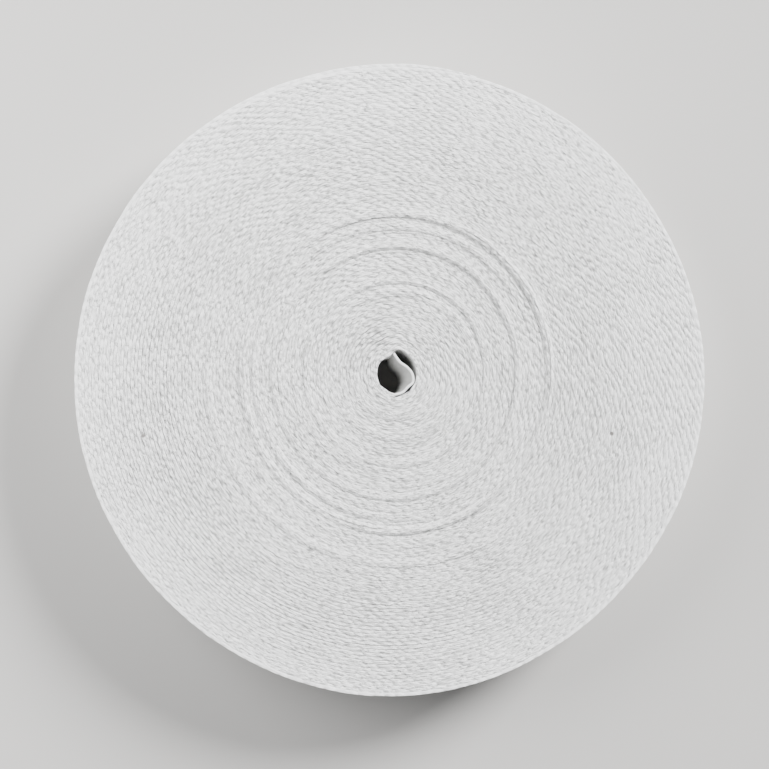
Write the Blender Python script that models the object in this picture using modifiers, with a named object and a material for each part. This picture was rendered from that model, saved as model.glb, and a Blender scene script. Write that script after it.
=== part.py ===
# A coreless roll of white woven ribbon lying flat, with the ribbon's inner end loose in its hole.
# Metres, +Z up. The origin is on the surface that the roll lies on, under the middle of the roll.

import math
from collections import namedtuple

import bmesh
import bpy

MM = 0.001

# Driving dimensions
OUTER_RADIUS = 75.0 * MM
RIBBON_WIDTH = 20.0 * MM        # the roll's height, because the turns stand on edge
SHEET_THICKNESS = 1.0 * MM      # the loose end, a little stouter than the ribbon itself
CLEARANCE = 0.3 * MM
RIM_ROUNDING = 0.4 * MM

HOLE_RADIUS = 4.75 * MM         # the round hole that the uneven one is drawn from
HOLE_CENTRE = (1.5 * MM, 1.9 * MM)
HOLE_SHAPE_ENDS = 14.0 * MM     # past this radius the turns no longer follow the hole
DRIFT_STARTS = 47.0 * MM        # past this radius the turns drift from the hole's centre to the rim's
OVAL_RADIUS = 37.0 * MM         # where the turns are most oval
OVAL_REACH = 24.0 * MM
OVAL_AMOUNT = 0.5 * MM          # they reach this much further along Y and less along X
RIDGE_FADE = 35.0               # degrees over which a ridge sinks in at each of its ends

SEGMENTS = 90
STRIP_STATIONS = 24
STRIP_ROWS = 3

# Reach of the hole's wall from the hole's centre, anticlockwise from +X.
# Between -96 and 8 degrees it stands back for the loose end that lies along it.
WallRow = namedtuple("WallRow", "bearing reach")
HOLE_WALL = [
    WallRow(bearing=-180.0, reach=4.45 * MM),
    WallRow(bearing=-164.0, reach=4.60 * MM),
    WallRow(bearing=-144.0, reach=4.80 * MM),
    WallRow(bearing=-120.0, reach=4.75 * MM),
    WallRow(bearing=-100.0, reach=4.95 * MM),
    WallRow(bearing=-96.0, reach=5.75 * MM),
    WallRow(bearing=-76.0, reach=5.55 * MM),
    WallRow(bearing=-52.0, reach=5.45 * MM),
    WallRow(bearing=-20.0, reach=5.55 * MM),
    WallRow(bearing=8.0, reach=5.05 * MM),
    WallRow(bearing=44.0, reach=5.05 * MM),
    WallRow(bearing=80.0, reach=5.55 * MM),
    WallRow(bearing=100.0, reach=4.90 * MM),
    WallRow(bearing=112.0, reach=4.20 * MM),
    WallRow(bearing=148.0, reach=4.40 * MM),
    WallRow(bearing=180.0, reach=4.45 * MM),
]

# Turns that stand proud of the others. The ribbon is as wide there, so the underside is as much
# hollow. A ridge with no ends goes all round.
Ridge = namedtuple("Ridge", "radius half_width rise starts ends")
RIDGES = [
    Ridge(radius=10.6 * MM, half_width=1.4 * MM, rise=0.20 * MM, starts=190.0, ends=350.0),
    Ridge(radius=15.6 * MM, half_width=1.3 * MM, rise=0.20 * MM, starts=200.0, ends=335.0),
    Ridge(radius=19.0 * MM, half_width=1.1 * MM, rise=0.18 * MM, starts=-10.0, ends=150.0),
    Ridge(radius=21.8 * MM, half_width=1.0 * MM, rise=0.45 * MM, starts=None, ends=None),
    Ridge(radius=29.6 * MM, half_width=1.0 * MM, rise=0.55 * MM, starts=None, ends=None),
    Ridge(radius=34.2 * MM, half_width=1.0 * MM, rise=0.24 * MM, starts=20.0, ends=290.0),
    Ridge(radius=37.3 * MM, half_width=1.1 * MM, rise=0.60 * MM, starts=None, ends=None),
    Ridge(radius=45.4 * MM, half_width=1.2 * MM, rise=0.20 * MM, starts=80.0, ends=320.0),
]
RIDGE_FEET = (-1.0, -0.35, 0.35, 1.0)   # where a ridge's section has points, in half widths
DEEP_RIDGE = 0.4 * MM                   # ridges from this rise on are hollows in the underside
PLAIN_RINGS = [7.2 * MM, 25.5 * MM, 41.5 * MM, 55.0 * MM, 65.0 * MM]
UNDERSIDE_RINGS = [12.0 * MM, 25.5 * MM, 55.0 * MM]

# Swells of the rim, which the turns under it take over between DRIFT_STARTS and the rim.
Swell = namedtuple("Swell", "times_round height")
RIM_SWELLS = [
    Swell(times_round=2, height=-0.17 * MM),
    Swell(times_round=4, height=0.19 * MM),
]

# The loose end's path from its cut edge to the wall, at its top and at its foot, from the hole's centre.
# It leans, so its foot lies further over.
EndRow = namedtuple("EndRow", "top_x top_y foot_x foot_y")
LOOSE_END = [
    EndRow(top_x=-0.50 * MM, top_y=4.25 * MM, foot_x=-1.80 * MM, foot_y=3.00 * MM),
    EndRow(top_x=0.95 * MM, top_y=2.45 * MM, foot_x=-1.80 * MM, foot_y=1.70 * MM),
    EndRow(top_x=2.65 * MM, top_y=1.30 * MM, foot_x=-1.10 * MM, foot_y=0.75 * MM),
    EndRow(top_x=4.00 * MM, top_y=-0.05 * MM, foot_x=-0.30 * MM, foot_y=-0.10 * MM),
    EndRow(top_x=4.35 * MM, top_y=-1.60 * MM, foot_x=0.30 * MM, foot_y=-1.00 * MM),
    EndRow(top_x=3.90 * MM, top_y=-2.65 * MM, foot_x=0.65 * MM, foot_y=-1.90 * MM),
    EndRow(top_x=2.70 * MM, top_y=-3.65 * MM, foot_x=0.70 * MM, foot_y=-3.00 * MM),
    EndRow(top_x=1.20 * MM, top_y=-4.45 * MM, foot_x=0.50 * MM, foot_y=-4.00 * MM),
    EndRow(top_x=-0.20 * MM, top_y=-4.90 * MM, foot_x=-0.10 * MM, foot_y=-4.80 * MM),
]


def clear_scene():
    for thing in list(bpy.data.objects):
        bpy.data.objects.remove(thing, do_unlink=True)


def make_material(name, colour, roughness):
    material = bpy.data.materials.new(name)
    material.use_nodes = True
    shader = material.node_tree.nodes["Principled BSDF"]
    shader.inputs["Base Color"].default_value = (*colour, 1.0)
    shader.inputs["Roughness"].default_value = roughness
    shader.inputs["Metallic"].default_value = 0.0
    return material


def eased(value, low, high):
    """0 at low, 1 at high, level at both ends."""
    share = min(max((value - low) / (high - low), 0.0), 1.0)
    return share * share * (3.0 - 2.0 * share)


def wall_reach(angle):
    """How far the hole's wall is from the hole's centre at an angle in radians."""
    bearing = (math.degrees(angle) + 180.0) % 360.0 - 180.0
    for before, after in zip(HOLE_WALL, HOLE_WALL[1:]):
        if bearing <= after.bearing:
            share = eased(bearing, before.bearing, after.bearing)
            return before.reach + (after.reach - before.reach) * share
    return HOLE_WALL[-1].reach


def ring_point(radius, angle):
    """Where the turn of a radius passes at an angle: uneven round the hole, then round, then as the rim."""
    near_hole = 1.0 - eased(radius, HOLE_RADIUS, HOLE_SHAPE_ENDS)
    near_rim = eased(radius, DRIFT_STARTS, OUTER_RADIUS)
    reach = radius + (wall_reach(angle) - HOLE_RADIUS) * near_hole
    oval = 1.0 - eased(abs(radius - OVAL_RADIUS), 0.0, OVAL_REACH)
    reach -= OVAL_AMOUNT * oval * math.cos(2.0 * angle)
    for swell in RIM_SWELLS:
        reach += swell.height * near_rim * math.cos(swell.times_round * angle)
    x = HOLE_CENTRE[0] * (1.0 - near_rim) + reach * math.cos(angle)
    y = HOLE_CENTRE[1] * (1.0 - near_rim) + reach * math.sin(angle)
    return x, y


def ridge_strength(ridge, angle):
    """1 along a ridge, sinking to 0 past its two ends."""
    if ridge.starts is None:
        return 1.0
    half_span = 0.5 * (ridge.ends - ridge.starts)
    middle = 0.5 * (ridge.ends + ridge.starts)
    off_middle = abs((math.degrees(angle) - middle + 180.0) % 360.0 - 180.0)
    return 1.0 - eased(off_middle, half_span - RIDGE_FADE, half_span)


def relief(radius, angle):
    """How far the turn of a radius stands out of the roll's top at an angle."""
    height = 0.0
    for ridge in RIDGES:
        off_crest = abs(radius - ridge.radius) / ridge.half_width
        section = 1.0 - eased(off_crest, abs(RIDGE_FEET[1]), RIDGE_FEET[-1])
        height += ridge.rise * section * ridge_strength(ridge, angle)
    return height


def ring_radii(plain_rings, least_rise):
    """Radii of the rings of points on a face, from the hole to the rim's rounding."""
    radii = [HOLE_RADIUS, OUTER_RADIUS - RIM_ROUNDING, *plain_rings]
    for ridge in RIDGES:
        if ridge.rise >= least_rise:
            radii += [ridge.radius + foot * ridge.half_width for foot in RIDGE_FEET]
    return sorted(radii)


def roll_profile():
    """Half section of the roll at +X, closed: out over the top, down the rim, back below, up the hole."""
    top = [(radius, RIBBON_WIDTH) for radius in ring_radii(PLAIN_RINGS, 0.0)]
    rim = [
        (OUTER_RADIUS, RIBBON_WIDTH - RIM_ROUNDING),
        (OUTER_RADIUS, 0.5 * RIBBON_WIDTH),
        (OUTER_RADIUS, RIM_ROUNDING),
    ]
    underside = [(radius, 0.0) for radius in reversed(ring_radii(UNDERSIDE_RINGS, DEEP_RIDGE))]
    return top + rim + underside


def turned_mesh(name, profile):
    """A closed profile in the XZ plane, turned about Z."""
    mesh = bpy.data.meshes.new(name + " profile")
    count = len(profile)
    edges = [(index, (index + 1) % count) for index in range(count)]
    mesh.from_pydata([(radius, 0.0, height) for radius, height in profile], edges, [])
    guide = bpy.data.objects.new(name + " profile", mesh)
    bpy.context.scene.collection.objects.link(guide)
    screw = guide.modifiers.new("turn", "SCREW")
    screw.axis = "Z"
    screw.angle = math.tau
    screw.steps = SEGMENTS
    screw.render_steps = SEGMENTS
    screw.use_merge_vertices = True
    screw.merge_threshold = 0.01 * MM
    screw.use_smooth_shade = False
    depsgraph = bpy.context.evaluated_depsgraph_get()
    turned = bpy.data.meshes.new_from_object(guide.evaluated_get(depsgraph))
    bpy.data.objects.remove(guide, do_unlink=True)
    turned.name = name
    return turned


def centre_on_origin(mesh):
    """Moves a mesh so that the middle of its box stands on the origin, and returns the shift."""
    xs = [vertex.co.x for vertex in mesh.vertices]
    ys = [vertex.co.y for vertex in mesh.vertices]
    shift = (-0.5 * (min(xs) + max(xs)), -0.5 * (min(ys) + max(ys)))
    for vertex in mesh.vertices:
        vertex.co.x += shift[0]
        vertex.co.y += shift[1]
    return shift


def add_object(name, mesh, material, collection):
    thing = bpy.data.objects.new(name, mesh)
    thing.data.materials.append(material)
    collection.objects.link(thing)
    return thing


def build_roll(material, collection):
    """All the wound turns as one solid, and how far it moved to stand on the origin."""
    mesh = turned_mesh("ribbon_roll", roll_profile())
    for vertex in mesh.vertices:
        radius = math.hypot(vertex.co.x, vertex.co.y)
        angle = math.atan2(vertex.co.y, vertex.co.x)
        vertex.co.z += relief(radius, angle)
        vertex.co.x, vertex.co.y = ring_point(radius, angle)
    shift = centre_on_origin(mesh)
    add_object("ribbon_roll", mesh, material, collection)
    mesh.shade_smooth()
    mesh.set_sharp_from_angle(angle=math.radians(40.0))
    return shift


def through_rows(column, share):
    """A smooth curve through one column of LOOSE_END, share running from 0 to 1."""
    values = [getattr(row, column) for row in LOOSE_END]
    place = share * (len(values) - 1)
    index = min(int(place), len(values) - 2)
    part = place - index
    before = values[max(index - 1, 0)]
    start = values[index]
    end = values[index + 1]
    after = values[min(index + 2, len(values) - 1)]
    bend = (end - before) * 0.5 * part * (1.0 - part) ** 2
    bend -= (after - start) * 0.5 * part ** 2 * (1.0 - part)
    return start + (end - start) * (3.0 * part ** 2 - 2.0 * part ** 3) + bend


def build_loose_end(material, collection, shift):
    """The ribbon's inner end, a strip on edge that crosses the hole in an S and joins its wall."""
    shell = bmesh.new()
    bmesh.ops.create_grid(shell, x_segments=STRIP_STATIONS, y_segments=STRIP_ROWS, size=0.5)
    low = CLEARANCE
    high = RIBBON_WIDTH
    for vertex in shell.verts:
        along = vertex.co.x + 0.5
        up = vertex.co.y + 0.5
        top = (through_rows("top_x", along), through_rows("top_y", along))
        foot = (through_rows("foot_x", along), through_rows("foot_y", along))
        vertex.co.x = HOLE_CENTRE[0] + shift[0] + foot[0] + (top[0] - foot[0]) * up
        vertex.co.y = HOLE_CENTRE[1] + shift[1] + foot[1] + (top[1] - foot[1]) * up
        vertex.co.z = low + (high - low) * up
    mesh = bpy.data.meshes.new("inner_end")
    shell.to_mesh(mesh)
    shell.free()
    strip = add_object("inner_end", mesh, material, collection)
    solidify = strip.modifiers.new("thickness", "SOLIDIFY")
    solidify.thickness = SHEET_THICKNESS
    solidify.offset = 0.0
    solidify.use_even_offset = True
    mesh.shade_smooth()


def main():
    clear_scene()
    collection = bpy.data.collections.new("ribbon roll")
    bpy.context.scene.collection.children.link(collection)
    edges = make_material("ribbon edges", (0.76, 0.76, 0.75), 0.85)
    face = make_material("ribbon face", (0.80, 0.80, 0.79), 0.60)
    shift = build_roll(edges, collection)
    build_loose_end(face, collection, shift)


main()
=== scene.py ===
import math

import bmesh
import bpy
import numpy as np
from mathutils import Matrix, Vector


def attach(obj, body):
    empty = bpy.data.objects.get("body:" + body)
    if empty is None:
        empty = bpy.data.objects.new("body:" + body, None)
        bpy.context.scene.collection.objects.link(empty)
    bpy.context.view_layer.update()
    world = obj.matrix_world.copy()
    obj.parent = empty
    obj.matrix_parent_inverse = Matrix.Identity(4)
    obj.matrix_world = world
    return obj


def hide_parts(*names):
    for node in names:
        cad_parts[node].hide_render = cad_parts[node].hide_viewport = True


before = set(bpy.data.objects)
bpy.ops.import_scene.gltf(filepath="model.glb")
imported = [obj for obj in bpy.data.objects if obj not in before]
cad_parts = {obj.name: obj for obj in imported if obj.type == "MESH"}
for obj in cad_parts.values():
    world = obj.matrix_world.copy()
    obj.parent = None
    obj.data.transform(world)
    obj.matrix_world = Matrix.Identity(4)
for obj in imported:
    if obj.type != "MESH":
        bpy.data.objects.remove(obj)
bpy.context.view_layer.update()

mm = 0.001
print("frame loaded")


# the camera is straight above, with the roll where the photo has it
lookDown = {
    "imagePixels": 769,
    "rollCentre": (389.7, 380.0),       # pixels from the image's top left corner
    "rollRadius": 314.6,                # pixels
    "distance": 620 * mm,               # from the roll's top to the lens
    "sensor": 36.0,
    "clipStart": 10 * mm,
}


def addCamera(spec, rollRadius, rollTop):
    pixel = rollRadius / spec["rollRadius"]
    middle = 0.5 * spec["imagePixels"]
    data = bpy.data.cameras.new("lookDown")
    data.sensor_width = spec["sensor"]
    data.lens = 0.5 * spec["sensor"] * spec["distance"] / (middle * pixel)
    data.clip_start = spec["clipStart"]
    camera = bpy.data.objects.new("lookDown", data)
    camera.location = (
        (middle - spec["rollCentre"][0]) * pixel,
        (spec["rollCentre"][1] - middle) * pixel,
        rollTop + spec["distance"],
    )
    bpy.context.scene.collection.objects.link(camera)
    bpy.context.scene.camera = camera


# a soft window light from the upper right, a weaker one from the left and pale air all round
studio = {
    "floorSize": 4.0,
    "floorColour": (0.50, 0.49, 0.475, 1.0),
    "floorRoughness": 0.8,
    "airColour": (0.95, 0.97, 1.0, 1.0),
    "airStrength": 0.31,
    # name, bearing, elevation, distance, size, watts
    "lamps": (
        ("windowLight", 39.0, 30.5, 2.0, 0.77, 137.0),
        ("sideLight", 160.0, 40.0, 0.38, 0.35, 2.3),
    ),
}


def addFloor(spec):
    mesh = bpy.data.meshes.new("floor")
    shape = bmesh.new()
    bmesh.ops.create_grid(shape, x_segments=1, y_segments=1, size=0.5 * spec["floorSize"])
    shape.to_mesh(mesh)
    shape.free()
    floor = bpy.data.objects.new("floor", mesh)
    bpy.context.scene.collection.objects.link(floor)
    material = bpy.data.materials.new("floor")
    material.use_nodes = True
    shader = material.node_tree.nodes["Principled BSDF"]
    shader.inputs["Base Color"].default_value = spec["floorColour"]
    shader.inputs["Roughness"].default_value = spec["floorRoughness"]
    mesh.materials.append(material)


def addLight(spec):
    world = bpy.data.worlds.new("air")
    world.use_nodes = True
    background = world.node_tree.nodes["Background"]
    background.inputs["Color"].default_value = spec["airColour"]
    background.inputs["Strength"].default_value = spec["airStrength"]
    bpy.context.scene.world = world
    for name, bearing, elevation, distance, size, watts in spec["lamps"]:
        light = bpy.data.lights.new(name, "AREA")
        light.shape = "DISK"
        light.size = size
        light.energy = watts
        lamp = bpy.data.objects.new(name, light)
        turn, rise = math.radians(bearing), math.radians(elevation)
        away = Vector((math.cos(turn) * math.cos(rise), math.sin(turn) * math.cos(rise), math.sin(rise)))
        lamp.location = away * distance
        lamp.rotation_euler = away.to_track_quat("Z", "Y").to_euler()
        bpy.context.scene.collection.objects.link(lamp)


# the one long ribbon, wound clockwise seen from above, from the hole out
winding = {
    "turns": 88.54,                     # the outer end is at a bearing of 72 degrees
    "startBearing": -93.0,
    "holeRadius": 4.75 * mm,
    "holeCentre": (1.5 * mm, 1.9 * mm),
    "holeShapeEnds": 14.0 * mm,         # turns past this radius no longer follow the hole
    "driftStarts": 47.0 * mm,           # past this they drift from the hole's centre to the rim's
    "outerRadius": 75.0 * mm,
    "samplesPerTurn": 720,              # for measuring its length
    "ribbonWidth": 20.0 * mm,
    "fullness": 0.998,                  # ribbon thickness as a share of the room that a turn has
    "edgeRounding": 0.08 * mm,
    "cornerDrop": (1.8, 0.1),           # of the corners at a crease and on a loop, in roundings
    "cornerPower": 3.0,                 # higher keeps the drop nearer to the corner
    "edgeCuts": 4,                      # points across the upper edge, between its two corners
    "footCuts": 1,
    "edgeSteepness": 0.3,               # what faces up or down more than this is edge, the rest is face
    "ovalRadius": 37.0 * mm,
    "ovalReach": 24.0 * mm,
    "ovalAmount": 0.5 * mm,
    # how the rim swells: times round, height by the bearing's cosine and by its sine
    "rimSwells": (
        (0, 0.416 * mm, 0.0 * mm), (1, 0.132 * mm, 0.052 * mm), (2, -0.050 * mm, 0.113 * mm),
        (3, -0.079 * mm, 0.152 * mm), (4, 0.137 * mm, -0.058 * mm), (5, 0.048 * mm, -0.090 * mm),
    ),
    "ridgeTop": 0.35,                   # share of a ridge's half width that is its flat top
    "ridgeSwell": (45.0, 0.66, 0.45),   # closed ridges are highest at this bearing: usual rise, swell
    "ridgeFade": 35.0,
    "ridgeLean": 1.0,                   # how far the turns on a ridge's flanks lean with them
    "leanStep": 0.1 * mm,
    "ridgeCalm": 0.65,                  # how much more even than others the turns of a high ridge are
    "calmRise": 0.25 * mm,              # a ridge this high is as even as that
    "calmReach": 0.55 * mm,             # so far off a ridge's turns those beside it are as even
    "loopLength": 2.9 * mm,             # one loop of the weft round the ribbon's edge
    # loops lie in the hollows of the turn inside, as bricks do, over bands of so many turns
    "bandTurns": (3.0, 7.0),
    # how unevenly, over the roll and along the ribbon: step, share of a loop
    "loopUneven": ((4.0 * mm, 0.22), (2.5 * mm, 0.16)),
    "stationsPerLoop": 6,
    "loopRelief": 0.12 * mm,            # how deep the creases between loops are
    "loopPower": 0.7,                   # lower makes loops fuller and creases narrower
    # how many loops a crease passes in the ribbon's thickness, by bearing: outward clockwise or inward
    "creaseSlants": (
        (-180.0, 0.1), (-135.0, 0.0), (-90.0, -0.2), (-45.0, 0.2), (0.0, 0.5),
        (45.0, 0.0), (90.0, -0.3), (135.0, -0.1), (180.0, 0.1),
    ),
    "loopRise": 0.03 * mm,              # how far single loops stand up or sink
    "loopLean": 0.06,                   # how far they lean, as a slope
    # turns bed into each other, so where one stands up its neighbours sink: step, rise, lean, plumpness
    "bedding": (1.4 * mm, 0.055 * mm, 0.09, 0.4),
    "plumpness": (0.75, 0.25, 0.15),    # middle, wander over the roll, wander from loop to loop
    "plumpStep": 3.0 * mm,
    "plumpBounds": (0.05, 1.6),
    "plumpSwell": (45.0, 0.45, 4),      # loops are plumpest round this bearing: by how much, how narrowly
    # towards the rim they grow flatter: from and to which radius, round which bearing, by how much
    "rimFlattening": (54.0 * mm, 70.0 * mm, 135.0, 0.45),
    # how the edge's height wanders along the ribbon: from knot to knot, by how much
    "wanders": ((38.0 * mm, 0.04 * mm), (9.0 * mm, 0.05 * mm), (0.6 * mm, 0.03 * mm)),
    # the same for how far the edge leans, as a slope
    "leans": ((14.0 * mm, 0.05), (4.0 * mm, 0.05), (1.2 * mm, 0.06)),
    "dishing": (16.0 * mm, 0.10 * mm),  # slow hills over the whole roll
    "sideWander": (9.0 * mm, 0.07 * mm),
    # the same for how far single turns shift sideways, which opens and shuts the gaps between them
    "sideWaves": ((3.2 * mm, 0.020 * mm), (1.45 * mm, 0.030 * mm)),
    "looseBand": (20.0 * mm, 40.0 * mm, 1.8),   # between these radii the turns lie less evenly
    "looseFade": 4.0 * mm,
    "clearOfFloor": 0.10 * mm,          # room for the leaning feet of the turns
    "endPressed": (16.0 * mm, 0.62),    # the outer end is pressed thin over this length, by this share
    # the innermost turn's foot stands in under the loose end: round which turn, in full to so many
    # turns from there, gone by so many, how far
    "footIn": (0.65, 0.12, 0.30, 2.8 * mm),
    "seed": 7,
    "pieces": {                         # first and last turn of each piece
        "holeTurns": (0.0, 2.0),
        "innerTurns": (2.0, 36.0),
        "middleTurns": (36.0, 53.5),
        "outerTurns": (53.5, 67.0),
        "farTurns": (67.0, 78.2),
        "lastTurns": (78.2, 87.4),
        "rimTurn": (87.4, 88.54),
    },
}
gridReach = 100 * mm                    # the roll lies well within this of the origin
sharpAngle = 50.0                       # edges that turn more than this stay sharp

# how far the turns round the hole stand off an even spiral: bearing, swell in mm
holeSwells = (
    (-180.0, -0.49), (-163.0, -0.33), (-143.0, -0.07), (-121.0, -0.05), (-103.0, 0.25),
    (-93.0, 0.32), (-86.0, 0.42), (-75.0, 0.05), (-64.0, -0.02), (-53.0, 0.10),
    (-42.0, -0.22), (-20.0, -0.32), (-3.0, -0.43), (18.0, -0.43), (45.0, -0.21),
    (67.0, 0.03), (83.0, 0.40), (90.0, 0.22), (98.0, -0.26), (104.0, -0.66),
    (114.0, -1.01), (131.0, -0.85), (148.0, -0.61), (180.0, -0.49),
)

# turns that stand proud: radius, half width and rise in mm, and the bearings they run between
ridges = (
    (10.6, 1.4, 0.20, 190, 350),
    (15.6, 1.3, 0.20, 200, 335),
    (19.0, 1.1, 0.18, -10, 150),
    (21.8, 1.0, 0.36, None, None),
    (29.6, 1.0, 0.55, None, None),
    (34.2, 1.0, 0.24, 20, 290),
    (37.3, 1.1, 0.60, None, None),
    (45.4, 1.2, 0.20, 80, 320),
)


def eased(value, low, high):
    share = np.clip((value - low) / (high - low), 0.0, 1.0)
    return share * share * (3.0 - 2.0 * share)


# 1 where bearings are the same, -1 where they are opposite
def facing(bearing, other):
    return np.cos(np.radians(bearing - other))


# a table of bearings and values, read between its rows
def byBearing(rows, bearing):
    rows = np.array(rows)
    return np.interp((bearing + 180.0) % 360.0 - 180.0, rows[:, 0], rows[:, 1])


def ridgeLift(spec, radius, bearing):
    lift = np.zeros_like(radius)
    for middleRadius, halfWidth, rise, starts, ends in ridges:
        offCrest = np.abs(radius / mm - middleRadius) / halfWidth
        part = rise * mm * (1.0 - eased(offCrest, spec["ridgeTop"], 1.0))
        if starts is None:
            highest, usual, share = spec["ridgeSwell"]
            part *= usual * (1.0 + share * facing(bearing, highest))
        else:
            halfSpan = 0.5 * (ends - starts)
            offMiddle = np.abs((bearing - 0.5 * (starts + ends) + 180.0) % 360.0 - 180.0)
            part *= 1.0 - eased(offMiddle, halfSpan - spec["ridgeFade"], halfSpan)
        lift += part
    return lift


# uneven values along the ribbon, from -1 to 1, a new one every step and smooth between
def wander(rng, along, step):
    knots = rng.uniform(-1.0, 1.0, int(along[-1] / step) + 3)
    index = (along / step).astype(int)
    share = eased(along / step - index, 0.0, 1.0)
    return knots[index] * (1.0 - share) + knots[index + 1] * share


# the same over the plane, so that turns that lie side by side go together
def unevenness(rng, x, y, step):
    half = int(gridReach / step) + 2
    knots = rng.uniform(-1.0, 1.0, (2 * half, 2 * half))
    column, row = (x / step + half).astype(int), (y / step + half).astype(int)
    right, up = eased(x / step + half - column, 0.0, 1.0), eased(y / step + half - row, 0.0, 1.0)
    below = knots[column, row] * (1.0 - right) + knots[column + 1, row] * right
    above = knots[column, row + 1] * (1.0 - right) + knots[column + 1, row + 1] * right
    return below * (1.0 - up) + above * up


def turnRoom(spec):
    return (spec["outerRadius"] - spec["holeRadius"]) / (spec["turns"] + 1.0)


# x, y, radius and bearing of the ribbon's middle at a turn number, which may be a fraction
def turnPlaces(spec, turn):
    bearing = spec["startBearing"] - 360.0 * turn
    angle = np.radians(bearing)
    radius = spec["holeRadius"] + turnRoom(spec) * (turn + 0.5)
    nearHole = 1.0 - eased(radius, spec["holeRadius"], spec["holeShapeEnds"])
    nearRim = eased(radius, spec["driftStarts"], spec["outerRadius"])
    swell = byBearing(holeSwells, bearing) * mm
    oval = 1.0 - eased(np.abs(radius - spec["ovalRadius"]), 0.0, spec["ovalReach"])
    reach = radius + swell * nearHole - spec["ovalAmount"] * oval * np.cos(2.0 * angle)
    for timesRound, byCosine, bySine in spec["rimSwells"]:
        reach += nearRim * (byCosine * np.cos(timesRound * angle) + bySine * np.sin(timesRound * angle))
    x = spec["holeCentre"][0] * (1.0 - nearRim) + reach * np.cos(angle)
    y = spec["holeCentre"][1] * (1.0 - nearRim) + reach * np.sin(angle)
    return x, y, radius, bearing


# loops of the weft up to each turn number: so many and a half to the turn, so that they lie as bricks
def countLoops(spec, rng, turn):
    widths = rng.uniform(*spec["bandTurns"], int(spec["turns"]))
    bandEnds = np.concatenate(([0.0], np.cumsum(widths)))
    middles = spec["holeRadius"] + turnRoom(spec) * 0.5 * (bandEnds[:-1] + bandEnds[1:])
    loopsToTurn = np.round(math.tau * middles / spec["loopLength"]) + 0.5
    atBandEnds = np.concatenate(([0.0], np.cumsum(widths * loopsToTurn)))
    return np.interp(turn, bandEnds, atBandEnds)


# a few stations for each loop: how many loops, how far along the ribbon and how many turns in
def layStations(spec, rng):
    turn = np.linspace(0.0, spec["turns"], int(spec["turns"] * spec["samplesPerTurn"]))
    x, y, radius, bearing = turnPlaces(spec, turn)
    length = np.concatenate(([0.0], np.cumsum(np.hypot(np.diff(x), np.diff(y)))))
    loopsBefore = countLoops(spec, rng, turn)
    loop = np.arange(int(loopsBefore[-1]) * spec["stationsPerLoop"] + 1) / spec["stationsPerLoop"]
    along = np.interp(loop, loopsBefore, length)
    return loop, along, np.interp(along, length, turn)


# the height of the ribbon's edge above its own width, and how far it leans
def liftAndLean(spec, rng, x, y, radius, bearing, along):
    inner, outer, looser = spec["looseBand"]
    fade = spec["looseFade"]
    loose = eased(radius, inner - fade, inner) * (1.0 - eased(radius, outer, outer + fade))
    loose = 1.0 + (looser - 1.0) * loose
    lift = ridgeLift(spec, radius, bearing)
    for step, amount in spec["wanders"]:
        lift += wander(rng, along, step) * amount * loose
    hillStep, hillRise = spec["dishing"]
    lift += unevenness(rng, x, y, hillStep) * hillRise
    lift += spec["clearOfFloor"] - lift.min()
    near = spec["leanStep"]
    lean = ridgeLift(spec, radius + near, bearing) - ridgeLift(spec, radius - near, bearing)
    lean *= spec["ridgeLean"] / (2.0 * near)
    for step, amount in spec["leans"]:
        lean += wander(rng, along, step) * amount
    return lift, lean


# how far the loops stand out between their creases
def plumpLoops(spec, rng, x, y, radius, bearing, along):
    usual, overRoll, overLoops = spec["plumpness"]
    plump = usual + overRoll * unevenness(rng, x, y, spec["plumpStep"])
    plump += overLoops * wander(rng, along, spec["loopLength"])
    plumpest, swell, narrowing = spec["plumpSwell"]
    plump *= 1.0 + swell * np.clip(facing(bearing, plumpest), 0.0, 1.0) ** narrowing
    starts, ends, flattest, share = spec["rimFlattening"]
    flatter = np.clip(0.5 + facing(bearing, flattest), 0.0, 1.0)
    plump *= 1.0 - share * eased(radius, starts, ends) * flatter
    return plump


# how calmly the turns on a ridge and beside it lie: 0 as unevenly as all the others, 1 quite evenly
def calmOnRidges(spec, radius, bearing):
    beside = ridgeLift(spec, radius - spec["calmReach"], bearing)
    beside = np.maximum(beside, ridgeLift(spec, radius + spec["calmReach"], bearing))
    return spec["ridgeCalm"] * np.clip(beside / spec["calmRise"], 0.0, 1.0)


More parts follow.
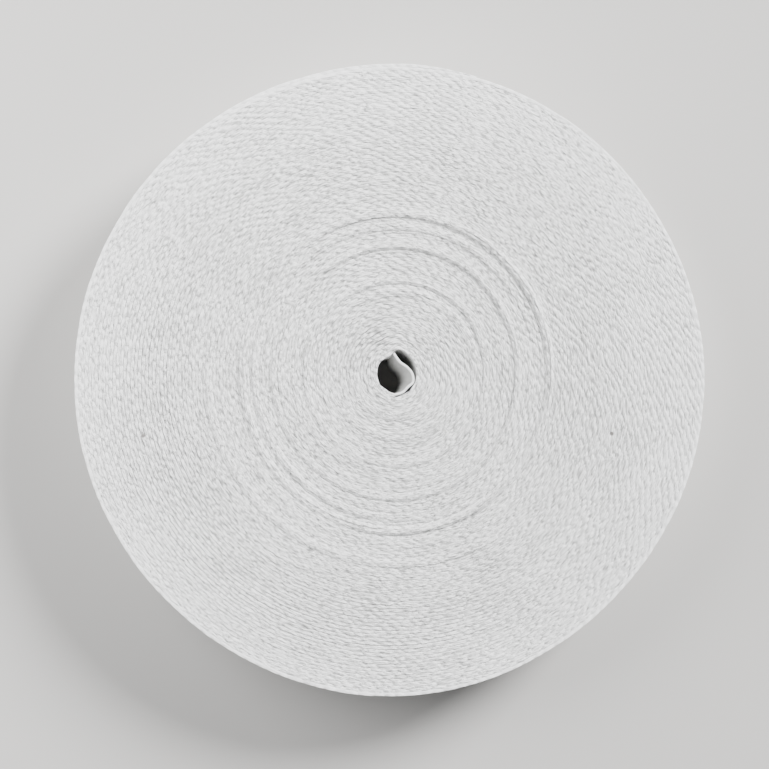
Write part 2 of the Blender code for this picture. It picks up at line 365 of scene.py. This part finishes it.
# the whole ribbon: columns of numbers for its stations, and the vectors that press or shift them
def windRibbon(spec):
    rng = np.random.default_rng(spec["seed"])
    loop, along, turn = layStations(spec, rng)
    loopCount = int(loop[-1])
    x, y, radius, bearing = turnPlaces(spec, turn)
    (overRoll, rollShare), (alongRibbon, ribbonShare) = spec["loopUneven"]
    loop = loop + unevenness(rng, x, y, overRoll) * rollShare
    loop += wander(rng, along, alongRibbon) * ribbonShare

    lift, lean = liftAndLean(spec, rng, x, y, radius, bearing, along)
    whichLoop = np.clip(loop.astype(int), 0, loopCount - 1)
    inLoop = np.abs(np.sin(np.pi * loop)) ** 0.5
    lift += rng.uniform(-1.0, 1.0, loopCount)[whichLoop] * inLoop * spec["loopRise"]
    lean += rng.uniform(-1.0, 1.0, loopCount)[whichLoop] * inLoop * spec["loopLean"]

    plump = plumpLoops(spec, rng, x, y, radius, bearing, along)
    bedStep, bedRise, bedLean, bedPlump = spec["bedding"]
    unevenly = 1.0 - calmOnRidges(spec, radius, bearing)
    everyOther = (1.0 - 2.0 * (turn.astype(int) % 2)) * unevenly
    lift += everyOther * unevenness(rng, x, y, bedStep) * bedRise
    lean += everyOther * unevenness(rng, x, y, bedStep) * bedLean
    plump = plump * unevenly + everyOther * unevenness(rng, x, y, bedStep) * bedPlump
    plump = np.clip(plump, *spec["plumpBounds"])

    sideStep, sideShift = spec["sideWander"]
    side = unevenness(rng, x, y, sideStep) * sideShift
    for step, amount in spec["sideWaves"]:
        side += wander(rng, along, step) * amount * unevenly
    angle = np.radians(bearing)
    x += side * np.cos(angle)
    y += side * np.sin(angle)

    outward = np.stack([np.cos(angle), np.sin(angle), np.zeros_like(angle)], 1)
    pressedLength, pressedShare = spec["endPressed"]
    pressed = pressedShare * eased(along, along[-1] - pressedLength, along[-1])
    middleTurn, fullSpan, goneSpan, footShift = spec["footIn"]
    shifted = footShift * (1.0 - eased(np.abs(turn - middleTurn), fullSpan, goneSpan))
    slant = byBearing(spec["creaseSlants"], bearing)
    columns = {"turn": turn, "x": x, "y": y, "loop": loop, "slant": slant}
    columns.update({"lift": lift, "lean": lean, "plump": plump})
    return columns, {"press": outward * -pressed[:, None], "footIn": outward * -shifted[:, None]}


def addNode(tree, kind, inputs=None, **settings):
    node = tree.nodes.new(kind)
    for name, value in settings.items():
        setattr(node, name, value)
    for key, value in (inputs or {}).items():
        socket = node.inputs[key]
        if isinstance(value, bpy.types.NodeSocket):
            tree.links.new(value, socket)
        else:
            socket.default_value = value
    return node


def sums(tree, operation, *values):
    node = addNode(tree, "ShaderNodeMath", dict(enumerate(values)), operation=operation)
    return node.outputs[0]


def vectorSums(tree, operation, *values):
    node = addNode(tree, "ShaderNodeVectorMath", dict(enumerate(values)), operation=operation)
    return node.outputs["Value" if operation == "DISTANCE" else "Vector"]


def readAttribute(tree, name, kind="FLOAT"):
    node = addNode(tree, "GeometryNodeInputNamedAttribute", {"Name": name}, data_type=kind)
    return node.outputs["Attribute"]


def storeAttribute(tree, geometry, name, value, kind="FLOAT"):
    node = addNode(
        tree,
        "GeometryNodeStoreNamedAttribute",
        {"Geometry": geometry, "Name": name, "Value": value},
        data_type=kind,
        domain="POINT",
    )
    return node.outputs["Geometry"]


# the ribbon's section, with more points on its upper edge, side 2, than on its foot, side 0
def makeSection(tree, given):
    box = addNode(
        tree,
        "GeometryNodeCurvePrimitiveQuadrilateral",
        {"Width": given["Ribbon Thickness"], "Height": given["Ribbon Width"]},
    )
    side = addNode(tree, "GeometryNodeInputIndex").outputs["Index"]
    footCuts = sums(tree, "MULTIPLY", sums(tree, "COMPARE", side, 0.0, 0.5), given["Foot Cuts"])
    edgeCuts = sums(tree, "MULTIPLY", sums(tree, "COMPARE", side, 2.0, 0.5), given["Edge Cuts"])
    section = addNode(
        tree,
        "GeometryNodeSubdivideCurve",
        {"Curve": box.outputs["Curve"], "Cuts": sums(tree, "ADD", footCuts, edgeCuts)},
    )
    place = addNode(tree, "GeometryNodeInputPosition").outputs["Position"]
    place = addNode(tree, "ShaderNodeSeparateXYZ", {"Vector": place}).outputs
    outward = sums(tree, "MULTIPLY", place["X"], -1.0)
    upward = sums(tree, "MULTIPLY", place["Y"], -1.0)
    named = storeAttribute(tree, section.outputs["Curve"], "across", outward)
    return storeAttribute(tree, named, "up", upward)


# sweeps the section along a path, lifts and leans it as the path says and plumps its loops
def makeRibbonTree(spec):
    tree = bpy.data.node_groups.new("ribbonOnEdge", "GeometryNodeTree")
    sockets = tree.interface
    sockets.new_socket("Geometry", in_out="INPUT", socket_type="NodeSocketGeometry")
    for name in ("Ribbon Width", "Ribbon Thickness", "Edge Rounding", "Loop Relief"):
        sockets.new_socket(name, in_out="INPUT", socket_type="NodeSocketFloat")
    for name in ("Edge Cuts", "Foot Cuts"):
        sockets.new_socket(name, in_out="INPUT", socket_type="NodeSocketInt")
    for name in ("Edge Material", "Face Material"):
        sockets.new_socket(name, in_out="INPUT", socket_type="NodeSocketMaterial")
    sockets.new_socket("Geometry", in_out="OUTPUT", socket_type="NodeSocketGeometry")
    given = tree.nodes.new("NodeGroupInput").outputs
    thickness, width = given["Ribbon Thickness"], given["Ribbon Width"]

    path = addNode(tree, "GeometryNodeMeshToCurve", {"Mesh": given["Geometry"]})
    upright = addNode(
        tree, "GeometryNodeSetCurveNormal", {"Curve": path.outputs["Curve"]}, mode="Z_UP"
    )
    section = makeSection(tree, given)
    swept = addNode(
        tree,
        "GeometryNodeCurveToMesh",
        {"Curve": upright.outputs["Curve"], "Profile Curve": section, "Fill Caps": True},
    )

    # each loop bulges between two creases, and the edge's corners are rounded off
    loop, across, up = (readAttribute(tree, name) for name in ("loop", "across", "up"))
    acrossShare = sums(tree, "DIVIDE", across, thickness)
    phase = sums(tree, "SUBTRACT", loop, sums(tree, "MULTIPLY", acrossShare, readAttribute(tree, "slant")))
    bulge = sums(tree, "ABSOLUTE", sums(tree, "SINE", sums(tree, "MULTIPLY", phase, math.pi)))
    bulge = sums(tree, "POWER", bulge, spec["loopPower"])
    depth = sums(tree, "MULTIPLY", given["Loop Relief"], readAttribute(tree, "plump"))
    crease = sums(tree, "MULTIPLY", sums(tree, "SUBTRACT", 1.0, bulge), depth)
    offMiddle = sums(tree, "ABSOLUTE", sums(tree, "MULTIPLY", acrossShare, 2.0))
    atCrease, onLoop = spec["cornerDrop"]
    drop = sums(tree, "MULTIPLY_ADD", bulge, onLoop - atCrease, atCrease)
    drop = sums(tree, "MULTIPLY", drop, given["Edge Rounding"])
    rounding = sums(tree, "MULTIPLY", sums(tree, "POWER", offMiddle, spec["cornerPower"]), drop)
    inwards = sums(tree, "MULTIPLY", sums(tree, "ADD", crease, rounding), sums(tree, "SIGN", up))
    halfWidth = sums(tree, "MULTIPLY", width, 0.5)
    height = sums(tree, "ADD", halfWidth, readAttribute(tree, "lift"))
    height = sums(tree, "ADD", height, sums(tree, "MULTIPLY", across, readAttribute(tree, "lean")))
    height = sums(tree, "SUBTRACT", height, inwards)

    # the outer end is pressed against the turn inside, and the innermost turn's foot stands in
    fromInside = sums(tree, "ADD", across, sums(tree, "MULTIPLY", thickness, 0.5))
    pressing = addNode(
        tree,
        "ShaderNodeVectorMath",
        {0: readAttribute(tree, "press", "FLOAT_VECTOR"), "Scale": fromInside},
        operation="SCALE",
    )
    raising = addNode(tree, "ShaderNodeCombineXYZ", {"Z": height})
    offset = vectorSums(tree, "ADD", pressing.outputs["Vector"], raising.outputs["Vector"])
    belowTop = sums(tree, "SUBTRACT", 0.5, sums(tree, "DIVIDE", up, width))
    sideways = addNode(tree, "ShaderNodeCombineXYZ", {"X": belowTop, "Y": belowTop}).outputs["Vector"]
    footIn = readAttribute(tree, "footIn", "FLOAT_VECTOR")
    offset = vectorSums(tree, "MULTIPLY_ADD", footIn, sideways, offset)
    lifted = addNode(
        tree, "GeometryNodeSetPosition", {"Geometry": swept.outputs["Mesh"], "Offset": offset}
    )

    # the materials read their place on the ribbon: loops along it, metres across and up it
    ribbonPlace = addNode(
        tree, "ShaderNodeCombineXYZ", {"X": phase, "Y": across, "Z": sums(tree, "ADD", up, halfWidth)}
    )
    placed = storeAttribute(
        tree, lifted.outputs["Geometry"], "ribbonPlace", ribbonPlace.outputs["Vector"], "FLOAT_VECTOR"
    )
    smooth = addNode(tree, "GeometryNodeSetShadeSmooth", {"Geometry": placed, "Shade Smooth": True})
    real = addNode(tree, "GeometryNodeRealizeInstances", {"Geometry": smooth.outputs["Geometry"]})
    faced = addNode(
        tree,
        "GeometryNodeSetMaterial",
        {"Geometry": real.outputs["Geometry"], "Material": given["Face Material"]},
    )
    normal = addNode(tree, "GeometryNodeInputNormal")
    normalParts = addNode(tree, "ShaderNodeSeparateXYZ", {"Vector": normal.outputs["Normal"]})
    steepness = sums(tree, "ABSOLUTE", normalParts.outputs["Z"])
    edged = addNode(
        tree,
        "GeometryNodeSetMaterial",
        {
            "Geometry": faced.outputs["Geometry"],
            "Selection": sums(tree, "GREATER_THAN", steepness, spec["edgeSteepness"]),
            "Material": given["Edge Material"],
        },
    )
    result = tree.nodes.new("NodeGroupOutput")
    tree.links.new(edged.outputs["Geometry"], result.inputs["Geometry"])
    return tree


def setInputs(modifier, values):
    for item in modifier.node_group.interface.items_tree:
        if item.in_out == "INPUT" and item.name in values:
            modifier[item.identifier] = values[item.name]


def addPiece(name, mesh):
    mesh.set_sharp_from_angle(angle=math.radians(sharpAngle))
    piece = bpy.data.objects.new(name, mesh)
    bpy.context.scene.collection.objects.link(piece)
    return piece


# one stretch of the ribbon as a plain mesh
def sweepPiece(name, spec, tree, stations, shifts, materials):
    first, last = spec["pieces"][name]
    kept = np.flatnonzero((stations["turn"] >= first) & (stations["turn"] <= last))
    if kept[0] > 0:
        kept = np.concatenate(([kept[0] - 1], kept))
    pathMesh = bpy.data.meshes.new(name + "Path")
    places = np.stack([stations["x"][kept], stations["y"][kept], np.zeros(len(kept))], 1)
    edges = np.stack([np.arange(len(kept) - 1), np.arange(1, len(kept))], 1)
    pathMesh.from_pydata(places.tolist(), edges.tolist(), [])
    for column in ("loop", "slant", "lift", "lean", "plump"):
        layer = pathMesh.attributes.new(column, "FLOAT", "POINT")
        layer.data.foreach_set("value", stations[column][kept].astype(np.float32))
    for column, vectors in shifts.items():
        layer = pathMesh.attributes.new(column, "FLOAT_VECTOR", "POINT")
        layer.data.foreach_set("vector", vectors[kept].astype(np.float32).ravel())
    guide = bpy.data.objects.new(name + "Path", pathMesh)
    bpy.context.scene.collection.objects.link(guide)
    modifier = guide.modifiers.new("sweep", "NODES")
    modifier.node_group = tree
    edgeMaterial, faceMaterial = materials
    setInputs(modifier, {
        "Ribbon Width": spec["ribbonWidth"],
        "Ribbon Thickness": spec["fullness"] * turnRoom(spec),
        "Edge Rounding": spec["edgeRounding"],
        "Loop Relief": spec["loopRelief"],
        "Edge Cuts": spec["edgeCuts"],
        "Foot Cuts": spec["footCuts"],
        "Edge Material": edgeMaterial,
        "Face Material": faceMaterial,
    })
    depsgraph = bpy.context.evaluated_depsgraph_get()
    mesh = bpy.data.meshes.new_from_object(guide.evaluated_get(depsgraph))
    bpy.data.objects.remove(guide, do_unlink=True)
    mesh.name = name
    for spare in ("loop", "slant", "lift", "lean", "press", "footIn", "across", "up"):
        if spare in mesh.attributes:
            mesh.attributes.remove(mesh.attributes[spare])
    return addPiece(name, mesh)


# the loose end: its middle at the top and at the foot, from the hole's centre, in mm
looseEnd = {
    "thickness": 0.60 * mm,
    "rounding": 0.15 * mm,
    "cornerMiddle": (0.4, 0.3),         # in from the side and down from the top, in roundings
    "stations": 72,
    "wallRows": 8,
    "flare": 2.4,                       # above 1 it leans more near its top than near its foot
    "plump": 0.6,
    "lift": 0.15 * mm,
    "edgeSteepness": 0.5,
    # top x, top y, foot x, foot y, from the cut edge to the wall
    "rows": (
        (-0.57, 4.52, -2.00, 3.40),
        (0.95, 2.45, -1.95, 2.00),
        (2.62, 1.22, -1.35, 0.90),
        (3.80, -0.15, -0.50, 0.05),
        (4.20, -1.65, 0.30, -1.00),
        (3.94, -2.68, 0.62, -2.00),
        (2.96, -3.50, 0.60, -3.20),
        (1.52, -4.90, 0.30, -4.40),
        (-0.29, -5.45, -0.29, -5.30),
    ),
}


# a smooth curve through the rows, share running from 0 to 1
def throughRows(rows, share):
    place = share * (len(rows) - 1)
    index = min(int(place), len(rows) - 2)
    part = place - index
    before, start = rows[max(index - 1, 0)], rows[index]
    end, after = rows[index + 1], rows[min(index + 2, len(rows) - 1)]
    bend = (end - before) * 0.5 * part * (1.0 - part) ** 2
    bend -= (after - start) * 0.5 * part ** 2 * (1.0 - part)
    return start + (end - start) * (3.0 * part ** 2 - 2.0 * part ** 3) + bend


# points round the strip's section: across, up
def endSection(spec, width):
    half, rounding = 0.5 * spec["thickness"], spec["rounding"]
    sideShare, topShare = spec["cornerMiddle"]
    across, below = half - sideShare * rounding, topShare * rounding
    heights = np.linspace(rounding, width - rounding, spec["wallRows"])
    rightSide = [(half, height) for height in heights]
    top = [(across, width - below), (half - rounding, width)]
    top += [(rounding - half, width), (-across, width - below)]
    leftSide = [(-half, height) for height in reversed(heights)]
    foot = [(-across, below), (rounding - half, 0.0), (half - rounding, 0.0), (across, below)]
    return rightSide + top + leftSide + foot


# a strip on edge that bends in an S and leans, its foot further over than its top
def makeLooseEnd(spec, materials):
    width = winding["ribbonWidth"]
    section = endSection(spec, width)
    rows = np.array(spec["rows"]) * mm
    shares = np.linspace(0.0, 1.0, spec["stations"] + 1)
    middles = np.array([throughRows(rows, share) for share in shares])
    top, foot = middles[:, :2], middles[:, 2:]
    along = np.concatenate(([0.0], np.cumsum(np.hypot(*np.diff(top, axis=0).T))))
    shape = bmesh.new()
    layer = shape.verts.layers.float_vector.new("ribbonPlace")
    plumpLayer = shape.verts.layers.float.new("plump")
    rings = []
    for index in range(len(shares)):
        ring = []
        for across, up in section:
            path = foot + (top - foot) * (up / width) ** spec["flare"]
            ahead = path[min(index + 1, len(path) - 1)] - path[max(index - 1, 0)]
            ahead /= np.hypot(*ahead)
            x = path[index][0] - ahead[1] * across + winding["holeCentre"][0]
            y = path[index][1] + ahead[0] * across + winding["holeCentre"][1]
            point = shape.verts.new((x, y, up + spec["lift"]))
            point[layer] = ((along[index] - along[-1]) / winding["loopLength"], across, up)
            point[plumpLayer] = spec["plump"]
            ring.append(point)
        rings.append(ring)
    for here, there in zip(rings, rings[1:]):
        for side in range(len(section)):
            after = (side + 1) % len(section)
            shape.faces.new((here[side], here[after], there[after], there[side]))
    shape.faces.new(rings[0])
    shape.faces.new(list(reversed(rings[-1])))
    bmesh.ops.recalc_face_normals(shape, faces=shape.faces)
    for side in shape.faces:
        side.smooth = True
        side.material_index = 0 if abs(side.normal.z) > spec["edgeSteepness"] else 1
    mesh = bpy.data.meshes.new("looseEnd")
    shape.to_mesh(mesh)
    shape.free()
    for material in materials:
        mesh.materials.append(material)
    return addPiece("looseEnd", mesh), along[-1]


def shaderGroup(name, inputs, outputs):
    tree = bpy.data.node_groups.new(name, "ShaderNodeTree")
    for label, kind, value in inputs:
        socket = tree.interface.new_socket(label, in_out="INPUT", socket_type=kind)
        socket.default_value = value
    for label in outputs:
        tree.interface.new_socket(label, in_out="OUTPUT", socket_type="NodeSocketFloat")
    given = tree.nodes.new("NodeGroupInput").outputs
    result = tree.nodes.new("NodeGroupOutput").inputs
    return tree, given, result


# a pattern that varies about 0.5 moves a value up and down, by so much
def varied(tree, pattern, amount, value):
    return sums(tree, "MULTIPLY_ADD", sums(tree, "SUBTRACT", pattern, 0.5), amount, value)


# the ribbon's edges: loops of the weft, with fibres drawn out along them
selvedge = {
    "fibreScale": (2.2, 2500.0, 900.0),     # for each loop, and for each metre across and up
    "fibreDetail": 2.0,
    "fibreRoughness": 0.6,
    "fibreShift": 0.3,                  # how far fibres carry a crease aside, in loops
    "loopPower": 0.6,                   # lower makes the painted shade of the creases narrower
    "cornerPower": 3.0,
    "cornerReach": 1.1,                 # above 1 the painted shade at the corners reaches a little onto the loops too
    "evenHeight": 0.65,                 # painted shade and light: what lies deeper than this is coloured darker, what lies higher paler
    "stretchScale": 0.17,               # lighter and darker stretches for each loop
    "stretchDetail": 1.0,
    "light": 0.66,                      # 0 is a finish's shade, 1 its colour
    "loopTones": 0.20,
    "stretchTones": 0.40,
    "fibreTones": 3.95,
    # painted shade: how much darker creases and corners are coloured the deeper they lie
    "paintedCreaseShade": -0.55,
    "palerFrom": 0.42,                  # painted highlight: the edges grow a little whiter over this share of the ribbon, towards the rim, where more light falls
    "palerTo": 0.95,
    "paintedRimHighlight": 0.27,
    "fibreHeight": 3.0,                 # against a loop's own
}


# loops and fibres of a ribbon's edge: how light each spot is, with painted shade in its creases and at its
# corners, and its height
def makeSelvedgeGroup(spec):
    tree, given, result = shaderGroup(
        "selvedge",
        (
            ("Place", "NodeSocketVector", (0.0, 0.0, 0.0)),
            ("Thickness", "NodeSocketFloat", turnRoom(winding)),
            ("Plump", "NodeSocketFloat", 1.0),
            ("Loops In All", "NodeSocketFloat", 1.0),
            ("Paler From", "NodeSocketFloat", spec["palerFrom"]),
            ("Paler To", "NodeSocketFloat", spec["palerTo"]),
        ),
        ("Light", "Height"),
    )
    parts = addNode(tree, "ShaderNodeSeparateXYZ", {"Vector": given["Place"]}).outputs
    fibres = addNode(
        tree,
        "ShaderNodeTexNoise",
        {
            "Vector": vectorSums(tree, "MULTIPLY", given["Place"], spec["fibreScale"]),
            "Scale": 1.0,
            "Detail": spec["fibreDetail"],
            "Roughness": spec["fibreRoughness"],
        },
    ).outputs["Fac"]
    share = sums(tree, "DIVIDE", parts["Y"], given["Thickness"])
    phase = varied(tree, fibres, spec["fibreShift"], parts["X"])
    ownTone = addNode(
        tree, "ShaderNodeTexWhiteNoise", {"W": sums(tree, "FLOOR", phase)}, noise_dimensions="1D"
    ).outputs["Value"]
    bulge = sums(tree, "ABSOLUTE", sums(tree, "SINE", sums(tree, "MULTIPLY", phase, math.pi)))
    # painted shade: creases between loops and corners between turns are coloured darker, the more so the
    # plumper the loops
    offMiddle = sums(tree, "ABSOLUTE", sums(tree, "MULTIPLY", share, 2.0))
    nearCorner = sums(tree, "POWER", offMiddle, spec["cornerPower"])
    corner = sums(tree, "MULTIPLY", nearCorner, sums(tree, "SUBTRACT", spec["cornerReach"], bulge))
    raised = sums(tree, "POWER", bulge, spec["loopPower"])
    raised = sums(tree, "MULTIPLY", raised, sums(tree, "SUBTRACT", 1.0, corner))
    sunk = sums(tree, "MULTIPLY", sums(tree, "SUBTRACT", spec["evenHeight"], raised), given["Plump"])
    stretches = addNode(
        tree,
        "ShaderNodeTexNoise",
        {"W": parts["X"], "Scale": spec["stretchScale"], "Detail": spec["stretchDetail"]},
        noise_dimensions="1D",
    ).outputs["Fac"]
    light = varied(tree, ownTone, spec["loopTones"], spec["light"])
    light = varied(tree, stretches, spec["stretchTones"], light)
    light = varied(tree, fibres, spec["fibreTones"], light)
    light = sums(tree, "MULTIPLY_ADD", sunk, spec["paintedCreaseShade"], light)
    # painted highlight: the outer turns are coloured whiter towards the rim
    paler = addNode(
        tree,
        "ShaderNodeMapRange",
        {
            "Value": sums(tree, "DIVIDE", parts["X"], given["Loops In All"]),
            "From Min": given["Paler From"],
            "From Max": given["Paler To"],
        },
        interpolation_type="SMOOTHSTEP",
    ).outputs["Result"]
    light = sums(tree, "MULTIPLY_ADD", paler, spec["paintedRimHighlight"], light)
    tree.links.new(light, result["Light"])
    tree.links.new(sums(tree, "MULTIPLY_ADD", fibres, spec["fibreHeight"], bulge), result["Height"])
    return tree


# the ribbon's faces: long floats of the warp
satin = {
    "warpPitch": 0.22 * mm,
    "floatLength": 1.1 * mm,
    "setOff": 0.4,                      # of a row from the last one, in floats
    "tuckFrom": 0.36,                   # a float dips from here on, its ends being at 0.5
    "tuckSlope": 7.0,
    "tuckDepth": 0.8,
}


# floats lie side by side along the ribbon, each row set off from the last, with painted shade in their
# dips and between rows
def makeSatinGroup(spec):
    tree, given, result = shaderGroup(
        "satinFloats",
        (
            ("Place", "NodeSocketVector", (0.0, 0.0, 0.0)),
            ("Loop Length", "NodeSocketFloat", winding["loopLength"]),
            ("Warp Pitch", "NodeSocketFloat", spec["warpPitch"]),
            ("Float Length", "NodeSocketFloat", spec["floatLength"]),
        ),
        ("Light", "Height"),
    )
    parts = addNode(tree, "ShaderNodeSeparateXYZ", {"Vector": given["Place"]}).outputs
    row = sums(tree, "DIVIDE", parts["Z"], given["Warp Pitch"])
    bulge = sums(tree, "ABSOLUTE", sums(tree, "SINE", sums(tree, "MULTIPLY", row, math.pi)))
    setOff = sums(tree, "FRACT", sums(tree, "MULTIPLY", sums(tree, "FLOOR", row), spec["setOff"]))
    along = sums(tree, "MULTIPLY", parts["X"], given["Loop Length"])
    place = sums(tree, "ADD", sums(tree, "DIVIDE", along, given["Float Length"]), setOff)
    offMiddle = sums(tree, "ABSOLUTE", sums(tree, "SUBTRACT", sums(tree, "FRACT", place), 0.5))
    tuck = sums(tree, "MULTIPLY", sums(tree, "SUBTRACT", offMiddle, spec["tuckFrom"]), spec["tuckSlope"])
    tuck = addNode(tree, "ShaderNodeClamp", {"Value": tuck}).outputs["Result"]
    left = sums(tree, "SUBTRACT", 1.0, sums(tree, "MULTIPLY", tuck, spec["tuckDepth"]))
    height = sums(tree, "MULTIPLY", bulge, left)
    # painted shade: the colour follows the floats' height, darker where they dip
    tree.links.new(height, result["Light"])
    tree.links.new(height, result["Height"])
    return tree


# slow unevenness of the white, and specks of dust
tones = {
    "scale": 60.0,
    "detail": 4.0,
    "roughness": 0.55,
    "amount": 0.5,
    "speckColour": (0.20, 0.19, 0.18, 1.0),
    "specks": ((-58.7 * mm, -13.3 * mm), (52.9 * mm, -12.8 * mm)),
    "speckRadius": 0.30 * mm,
    "speckFade": 2.0,                   # a speck is gone at so many radii
}


def makeToneGroup(spec):
    tree, given, result = shaderGroup(
        "unevenWhite",
        (
            ("Place", "NodeSocketVector", (0.0, 0.0, 0.0)),
            ("Scale", "NodeSocketFloat", spec["scale"]),
            ("Speck Radius", "NodeSocketFloat", spec["speckRadius"]),
        ),
        ("Light", "Speck"),
    )
    noise = addNode(
        tree,
        "ShaderNodeTexNoise",
        {
            "Vector": given["Place"],
            "Scale": given["Scale"],
            "Detail": spec["detail"],
            "Roughness": spec["roughness"],
        },
    )
    tree.links.new(noise.outputs["Fac"], result["Light"])
    flat = vectorSums(tree, "MULTIPLY", given["Place"], (1.0, 1.0, 0.0))
    nearest = None
    for x, y in spec["specks"]:
        distance = vectorSums(tree, "DISTANCE", flat, (x, y, 0.0))
        nearest = distance if nearest is None else sums(tree, "MINIMUM", nearest, distance)
    speck = addNode(
        tree,
        "ShaderNodeMapRange",
        {
            "Value": nearest,
            "From Min": given["Speck Radius"],
            "From Max": sums(tree, "MULTIPLY", given["Speck Radius"], spec["speckFade"]),
            "To Min": 1.0,
            "To Max": 0.0,
        },
        interpolation_type="SMOOTHSTEP",
    )
    tree.links.new(speck.outputs["Result"], result["Speck"])
    return tree


# each finish: its group, its darkest and its lightest, how rough it is and how high its bump
finishes = {
    "selvedge": {
        "group": "selvedge",
        "shade": (0.38, 0.38, 0.375, 1.0),
        "colour": (0.90, 0.90, 0.895, 1.0),
        "roughness": 0.9,
        "bump": 0.16 * mm,
    },
    # painted highlight: the rim turn and the loose end's top edge are coloured paler, with less bump, for
    # the bright line of light along them
    "paintedHighlightSelvedge": {
        "group": "selvedge",
        "shade": (0.78, 0.78, 0.775, 1.0),
        "colour": (0.90, 0.90, 0.895, 1.0),
        "roughness": 0.9,
        "bump": 0.05 * mm,
    },
    # painted shade: the satin's shade colour goes into the dips between floats
    "satinFace": {
        "group": "satinFloats",
        "shade": (0.79, 0.79, 0.78, 1.0),
        "colour": (0.87, 0.87, 0.86, 1.0),
        "roughness": 0.5,
        "bump": 0.03 * mm,
    },
    # painted shade: the loose end's face is the same white satin, coloured dark for the deep shade in the
    # hole
    "looseEndFacePaintedShade": {
        "group": "satinFloats",
        "shade": (0.38, 0.38, 0.37, 1.0),
        "colour": (0.44, 0.44, 0.43, 1.0),
        "roughness": 0.5,
        "bump": 0.03 * mm,
    },
}


# the Mix node has a socket of each kind under one name, so its colours are reached by number
def mixColours(tree, share, first, second):
    return addNode(tree, "ShaderNodeMix", {0: share, 6: first, 7: second}, data_type="RGBA").outputs[2]


def makeRibbonMaterial(name, spec, toneGroup, loopCount):
    material = bpy.data.materials.new(name)
    material.use_nodes = True
    tree = material.node_tree
    shader = tree.nodes["Principled BSDF"]
    onRibbon = addNode(tree, "ShaderNodeAttribute", attribute_name="ribbonPlace").outputs["Vector"]
    inSpace = addNode(tree, "ShaderNodeTexCoord").outputs["Object"]
    pattern = addNode(tree, "ShaderNodeGroup", node_tree=bpy.data.node_groups[spec["group"]])
    tone = addNode(tree, "ShaderNodeGroup", node_tree=toneGroup)
    tree.links.new(onRibbon, pattern.inputs["Place"])
    tree.links.new(inSpace, tone.inputs["Place"])
    if "Plump" in pattern.inputs:
        plump = addNode(tree, "ShaderNodeAttribute", attribute_name="plump").outputs["Fac"]
        tree.links.new(plump, pattern.inputs["Plump"])
        pattern.inputs["Loops In All"].default_value = loopCount
    toneShare = sums(tree, "SUBTRACT", tone.outputs["Light"], 0.5)
    toneShare = sums(tree, "MULTIPLY", toneShare, tones["amount"])
    light = sums(tree, "ADD", pattern.outputs["Light"], toneShare)
    light = addNode(tree, "ShaderNodeClamp", {"Value": light}).outputs["Result"]
    colour = mixColours(tree, light, spec["shade"], spec["colour"])
    colour = mixColours(tree, tone.outputs["Speck"], colour, tones["speckColour"])
    tree.links.new(colour, shader.inputs["Base Color"])
    bumpNode = addNode(
        tree,
        "ShaderNodeBump",
        {"Height": pattern.outputs["Height"], "Strength": 1.0, "Distance": spec["bump"]},
    )
    tree.links.new(bumpNode.outputs["Normal"], shader.inputs["Normal"])
    shader.inputs["Roughness"].default_value = spec["roughness"]
    return material


addCamera(lookDown, winding["outerRadius"], winding["ribbonWidth"])
addFloor(studio)
addLight(studio)
print("camera and studio set")

stations, shifts = windRibbon(winding)
loopCount = stations["loop"][-1]
toneGroup = makeToneGroup(tones)
makeSelvedgeGroup(selvedge)
makeSatinGroup(satin)
materials = {
    name: makeRibbonMaterial(name, spec, toneGroup, loopCount) for name, spec in finishes.items()
}
print("materials made:", ", ".join(materials))

ribbonTree = makeRibbonTree(winding)
for name in winding["pieces"]:
    # the rim turn's edges take the painted highlight
    edgeMaterial = materials["paintedHighlightSelvedge" if name == "rimTurn" else "selvedge"]
    ribbonMaterials = (edgeMaterial, materials["satinFace"])
    piece = sweepPiece(name, winding, ribbonTree, stations, shifts, ribbonMaterials)
    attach(piece, "root")
    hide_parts("ribbon_roll")
    print(name, "wound:", 2 * len(piece.data.polygons), "triangles or so")

# the loose end's edge takes the painted highlight and its face the painted shade
endMaterials = (materials["paintedHighlightSelvedge"], materials["looseEndFacePaintedShade"])
strip, stripLength = makeLooseEnd(looseEnd, endMaterials)
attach(strip, "root")
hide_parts("inner_end")
print("loose end made")
